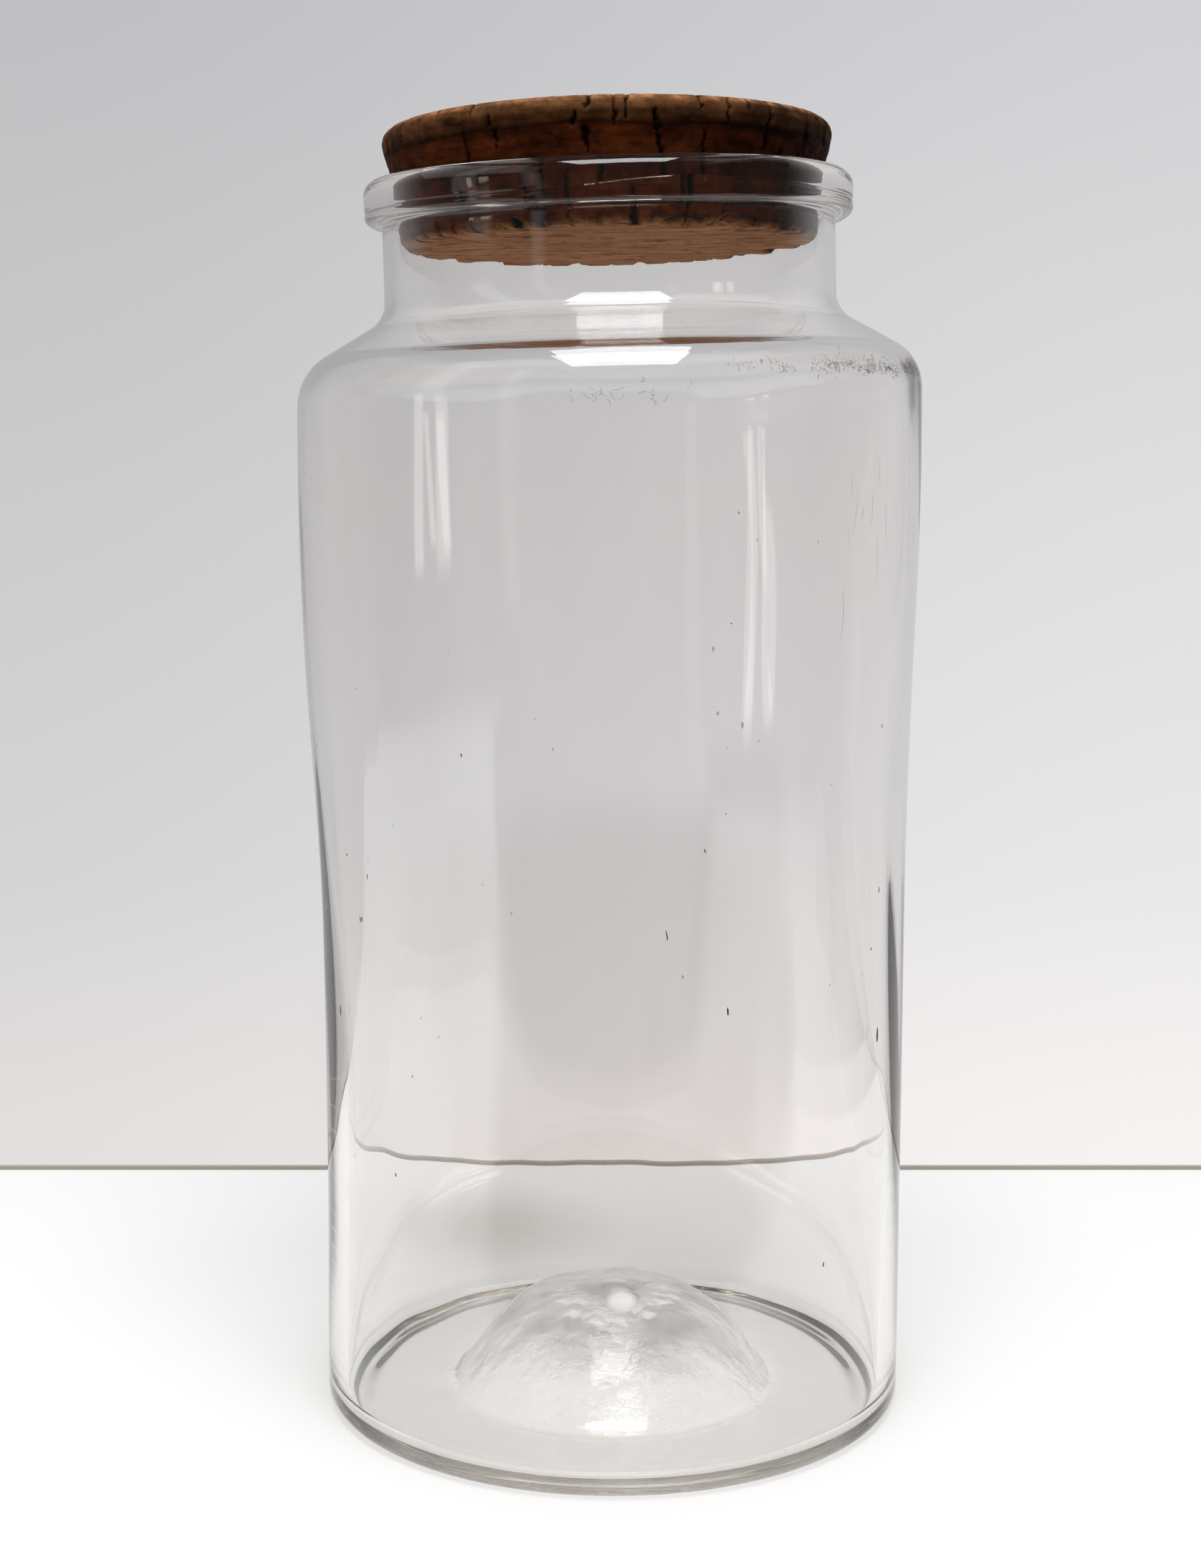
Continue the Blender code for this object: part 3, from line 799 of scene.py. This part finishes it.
# painted shadow: a soft grey spot on the floor behind the jar, where the cork's shadow falls
CORK_SHADOW_COLOUR = (0.69, 0.675, 0.65)
CORK_SHADOW_AT = (-0.040, 0.128, 0.0)
CORK_SHADOW_RADIUS = 0.052
# painted shadow: the thin grey-brown strip where the table meets the wall
GAP_SHADOW_COLOUR = (0.40, 0.35, 0.30, 1.0)
FRONT_COLOUR = (0.06, 0.058, 0.058)
SHADE_COLOUR = (0.10, 0.05, 0.03)
# the wall behind the jar, over the height of a unit direction from -0.30 to 0.20
WALL_COLOURS = [(0.0, (0.86, 0.82, 0.81)), (0.07, (0.84, 0.81, 0.80)), (0.28, (0.735, 0.73, 0.74)),
                (0.586, (0.675, 0.665, 0.67)), (0.936, (0.584, 0.584, 0.60)), (1.0, (0.57, 0.57, 0.59))]
# windows of the room, as mirrored: (azimuth, elevation), (width, height), softness, colour; in degrees, and
# azimuth 0 is towards the camera
WINDOWS = [
    ((-71.7, -0.7), (2.8, 7.6), 0.6, (3.1, 3.0, 2.93)),
    ((-63.2, -0.7), (5.4, 7.6), 0.9, (2.9, 2.82, 2.74)),
    ((-68.0, 28.0), (13.0, 46.0), 1.5, (0.75, 0.72, 0.70)),
    ((-36.0, 16.0), (6.0, 46.0), 1.6, (0.5, 0.48, 0.46)),
]
# soft shade low on the wall: (azimuth, elevation), half width and half height, strength; azimuth 0 is behind
SHADES = [((0.2, -12.4), (3.0, 4.2), 0.05), ((0.0, -15.4), (6.6, 6.4), 0.09),
          ((4.6, -11.6), (2.4, 5.0), 0.07)]


def slab(name, low, high):
    """A plain box for the stage, between two corners."""
    (x0, y0, z0), (x1, y1, z1) = low, high
    verts = [(x0, y0, z0), (x1, y0, z0), (x1, y1, z0), (x0, y1, z0),
             (x0, y0, z1), (x1, y0, z1), (x1, y1, z1), (x0, y1, z1)]
    faces = [(4, 5, 6, 7), (3, 2, 1, 0), (0, 1, 5, 4), (1, 2, 6, 5), (2, 3, 7, 6), (3, 0, 4, 7)]
    made = add_object(name, verts, faces, smooth=False)
    return made


def floor_material():
    """White, with a painted soft grey shadow of the cork behind the jar; in mirror images, dark past the
    table's sides.
    """
    mat, tree, shader = new_material("pale_floor")
    place = add(tree, "ShaderNodeTexCoord").outputs["Object"]
    parts = add(tree, "ShaderNodeSeparateXYZ", {"Vector": place})
    x, y = parts.outputs["X"], parts.outputs["Y"]
    on_top = add(tree, "ShaderNodeCombineXYZ", {0: x, 1: y}).outputs[0]
    apart = add(tree, "ShaderNodeVectorMath", {0: on_top, 1: CORK_SHADOW_AT}, operation="DISTANCE").outputs
    # painted shadow of the cork, greying the floor behind the jar
    painted_cork_shadow = map_range(tree, apart["Value"], CORK_SHADOW_RADIUS, 0.0)
    colour = mix(tree, painted_cork_shadow, TABLE_COLOUR, CORK_SHADOW_COLOUR)

    past_front = map_range(tree, y, TABLE_FRONT + 0.01, TABLE_FRONT - 0.02)
    not_left = map_range(tree, maths(tree, "MULTIPLY_ADD", y, -0.9, x), -0.03, 0.03)
    past_right = map_range(tree, x, TABLE_RIGHT - 0.01, TABLE_RIGHT + 0.01)
    far_off = add(tree, "ShaderNodeVectorMath", {0: place}, operation="LENGTH").outputs["Value"]
    past_end = map_range(tree, far_off, TABLE_END - 0.1, TABLE_END + 0.1)
    past = maths(tree, "MAXIMUM", maths(tree, "MULTIPLY", past_front, not_left), past_right)
    past = maths(tree, "MAXIMUM", past, past_end)
    past = maths(tree, "MULTIPLY", past, mirrored_or_lighting(tree))
    tree.links.new(mix(tree, past, colour, PAST_TABLE_COLOUR), shader.inputs["Base Color"])
    shader.inputs["Roughness"].default_value = 0.9
    return mat


def make_stage():
    """A white table top that ends behind the jar, with a thin grey-brown strip along its back as painted
    shadow of the gap at the wall.
    """
    wide = TABLE_HALF_WIDTH
    floor = slab("pale_floor", (-wide, -1.2, -0.03), (wide, TABLE_BACK, -0.05 * MM))
    floor.data.materials.append(floor_material())
    # a thin strip painted grey-brown as the shadow in the gap between table and wall
    edge = slab("floor_back_gap_shadow", (-wide, TABLE_BACK, -0.6 * MM), (wide, TABLE_BACK + 2 * MM, 1.1 * MM))
    mat, _, shader = new_material("floor_back_gap_shadow")
    shader.inputs["Base Color"].default_value = GAP_SHADOW_COLOUR
    shader.inputs["Roughness"].default_value = 0.9
    edge.data.materials.append(mat)


def mirrored_or_lighting(tree):
    """0 for what the camera sees straight or through glass; 1 for what surfaces mirror or are lit by."""
    path = add(tree, "ShaderNodeLightPath").outputs
    return maths(tree, "MINIMUM", maths(tree, "ADD", path["Glossy Depth"], path["Diffuse Depth"]), 1.0)


def window_mask(tree, azimuth, elevation, centre, size, soft):
    """1 inside a soft-edged window of the surroundings, at (azimuth, elevation) in degrees; 0 outside."""
    masks = []
    for value, middle, span in ((azimuth, centre[0], size[0]), (elevation, centre[1], size[1])):
        away = maths(tree, "ABSOLUTE", maths(tree, "SUBTRACT", value, math.radians(middle)))
        half = math.radians(span / 2)
        masks.append(map_range(tree, away, half + math.radians(soft), half - math.radians(soft)))
    return maths(tree, "MULTIPLY", *masks)


def shaded(tree, wall_colour, behind, elevation):
    """The wall's colour, darkened in soft patches low behind the jar."""
    for centre, half, strength in SHADES:
        cubes = []
        for value, middle, reach in zip((behind, elevation), centre, half):
            away = maths(tree, "SUBTRACT", value, math.radians(middle))
            away = maths(tree, "DIVIDE", away, math.radians(reach))
            cubes.append(maths(tree, "POWER", maths(tree, "ABSOLUTE", away), 3.0))
        shade = maths(tree, "MULTIPLY", map_range(tree, maths(tree, "ADD", *cubes), 1.6, 0.25), strength)
        wall_colour = mix(tree, shade, wall_colour, SHADE_COLOUR)
    return wall_colour


def make_world():
    """Grey wall behind the jar, lighter low down and to the right; mirrored, a dim room with pale windows."""
    world = bpy.data.worlds.new("surroundings")
    world.use_nodes = True
    tree = world.node_tree
    direction = add(tree, "ShaderNodeTexCoord").outputs["Generated"]
    parts = add(tree, "ShaderNodeSeparateXYZ", {"Vector": direction})
    x, y, z = (parts.outputs[k] for k in "XYZ")
    height = add(tree, "ShaderNodeMapRange", {"Value": z, "From Min": -0.30, "From Max": 0.20}).outputs[0]
    side = map_range(tree, x, -0.30, 0.30, 0.90, 1.11)
    lit_wall = mix(tree, 1.0, ramp(tree, height, WALL_COLOURS), grey(tree, side), blend="MULTIPLY")
    elevation = maths(tree, "ARCTAN2", z, maths(tree, "SQRT", squares_sum(tree, x, y)))
    lit_wall = shaded(tree, lit_wall, maths(tree, "ARCTAN2", x, y), elevation)

    in_front = map_range(tree, y, 0.58, 0.05)
    room = mix(tree, in_front, mix(tree, 0.2, lit_wall, (0.0, 0.0, 0.0)), FRONT_COLOUR)
    azimuth = maths(tree, "ARCTAN2", x, maths(tree, "MULTIPLY", y, -1.0))
    for centre, size, soft, colour in WINDOWS:
        mask = window_mask(tree, azimuth, elevation, centre, size, soft)
        room = mix(tree, mask, room, colour)
    room = mix(tree, mirrored_or_lighting(tree), lit_wall, room)
    tree.links.new(room, tree.nodes["Background"].inputs["Color"])
    bpy.context.scene.world = world


def area_light(name, azimuth, elevation, distance, size, power, target=(0, 0, 0.16)):
    """A rectangular light seen from the jar at an azimuth (0 towards the camera, 90 to the right)."""
    a, e = math.radians(azimuth), math.radians(elevation)
    away = Vector((math.sin(a) * math.cos(e), -math.cos(a) * math.cos(e), math.sin(e)))
    data = bpy.data.lights.new(name, "AREA")
    data.shape = "RECTANGLE"
    data.size, data.size_y = size
    data.energy = power
    light = bpy.data.objects.new(name, data)
    light.location = Vector(target) + away * distance
    light.rotation_euler = away.to_track_quat("Z", "Y").to_euler()
    bpy.context.scene.collection.objects.link(light)
    return light


def make_lights():
    """The overhead window, which the shoulder mirrors, and a wide ceiling light that nothing mirrors."""
    area_light("overhead_window", 4.5, 65, 1.6, (0.9, 0.9), 23.5)
    ceiling = area_light("ceiling", 0, 89, 2.2, (3.0, 3.0), 30)
    ceiling.visible_glossy = ceiling.visible_transmission = False


CAMERA_AT = (-3.2 * MM, -597 * MM, 238.5 * MM)
CAMERA_DOWN = math.radians(7.38)
LENS_MM, SENSOR_MM = 53.27, 36.0
GLASS_BOUNCES = 40
STRAIGHT_BOUNCES = 16


def make_camera():
    """The photograph's viewpoint, solved from its perspective."""
    data = bpy.data.cameras.new("camera")
    data.sensor_width = SENSOR_MM
    data.lens = LENS_MM
    camera = bpy.data.objects.new("camera", data)
    camera.location = CAMERA_AT
    camera.rotation_euler = (math.radians(90) - CAMERA_DOWN, 0.0, 0.0)
    bpy.context.scene.collection.objects.link(camera)
    bpy.context.scene.camera = camera


# ---------------------------------------------------------------- build
def main():
    make_camera()
    make_stage()
    make_world()
    make_lights()
    bpy.context.scene.view_settings.view_transform = "Standard"
    paths = bpy.context.scene.cycles
    paths.max_bounces = paths.transmission_bounces = paths.glossy_bounces = GLASS_BOUNCES
    paths.transparent_max_bounces = STRAIGHT_BOUNCES

    jar = make_jar()
    jar.data.materials.append(glass_material())
    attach(jar, "jar")
    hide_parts("glass_jar")

    residue = make_residue(jar)
    residue.data.materials.append(residue_material())
    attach(residue, "jar")

    cork = make_cork()
    cork.data.materials.append(cork_material())
    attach(cork, "stopper")
    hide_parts("cork_stopper")

    for name, obj in (("jar", jar), ("cork", cork)):
        print(name, len(obj.data.vertices), "vertices")


main()
